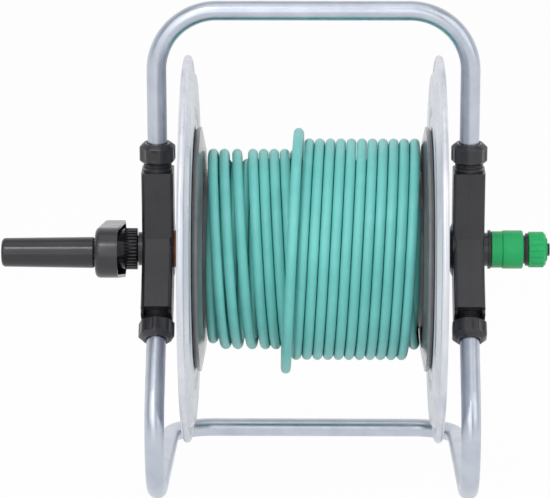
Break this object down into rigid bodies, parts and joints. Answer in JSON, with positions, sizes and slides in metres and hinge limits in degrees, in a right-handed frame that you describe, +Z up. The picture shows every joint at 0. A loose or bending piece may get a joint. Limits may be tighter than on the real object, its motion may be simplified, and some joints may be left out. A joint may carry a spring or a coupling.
{
  "type": "portable hose reel",
  "caption": "Free-standing garden hose reel: bent tube frame with a carrying bow, side brackets, a crank-turned drum with wound hose, and a snap hose connector.",
  "frame": {"origin": "on the floor, straight below the middle of the drum's axis", "axes": "+Z up, +X along the drum's axis from the crank to the hose connector, +Y from the front foot bends towards the rear cross tube"},
  "size_m": [0.5265, 0.4495, 0.4861],
  "materials": {
    "bent_tube": "bright galvanised, satin",
    "zinc_sheet": "bright zinc-plated sheet",
    "fastener_steel": "zinc-plated",
    "moulded_black": "satin, finely grained",
    "fitting_black": "satin",
    "grip_black": "gloss",
    "bush_orange": "satin",
    "spool_grey": "matte",
    "hose_teal": "satin flexible hose",
    "seal_black": "matte",
    "fitting_green": "semi-gloss"
  },
  "bodies": {
    "frame": {"upper_bow": "bent_tube", "base_bow": "bent_tube", "bracket_left": "moulded_black", "bracket_right": "moulded_black", "upper_nut_left": "moulded_black", "upper_nut_right": "moulded_black", "lower_nut_left": "moulded_black", "lower_nut_right": "moulded_black", "upper_collet_left": "fitting_black", "upper_collet_right": "fitting_black", "lower_collet_left": "fitting_black", "lower_collet_right": "fitting_black", "crank_bush": "bush_orange", "inlet_bush": "fitting_black", "inlet_nipple": "fitting_black", "nipple_clip": "fastener_steel", "swivel_seals": "seal_black"},
    "drum": {"disc_left": "zinc_sheet", "disc_right": "zinc_sheet", "spool_left": "spool_grey", "spool_right": "spool_grey", "tie_bolts": "fastener_steel", "tie_nuts": "fastener_steel", "hub_elbow": "fitting_black", "inner_hose": "hose_teal", "hose_clamp": "fastener_steel", "hose_core": "hose_teal", "hose_winding": "hose_teal", "end_nut": "fitting_green", "end_plug": "fitting_black", "crank_arm": "moulded_black", "crank_screw": "fastener_steel", "crank_nut": "fastener_steel", "grip_spindle": "fastener_steel"},
    "grip": {"grip": "grip_black", "grip_cap": "grip_black"},
    "connector": {"connector_body": "fitting_black", "connector_seal": "seal_black", "lock_claws": "fitting_black", "clamp_nut": "fitting_green"},
    "collar": {"release_collar": "fitting_green"}
  },
  "joints": [
    {"name": "drum_spin", "type": "hinge", "parent": "frame", "child": "drum", "pos_m": [0, 0, 0.24], "axis": [1, 0, 0], "continuous": true},
    {"name": "grip_spin", "type": "hinge", "parent": "drum", "child": "grip", "pos_m": [-0.25, -0.10433, 0.25189], "axis": [1, 0, 0], "continuous": true},
    {"name": "connector_spin", "type": "hinge", "parent": "frame", "child": "connector", "pos_m": [0.19, 0, 0.24], "axis": [1, 0, 0], "continuous": true},
    {"name": "collar_slide", "type": "slide", "parent": "connector", "child": "collar", "axis": [1, 0, 0], "range_m": [0, 0.0024], "stiffness_N_per_m": 800, "springref_m": -0.003}
  ]
}
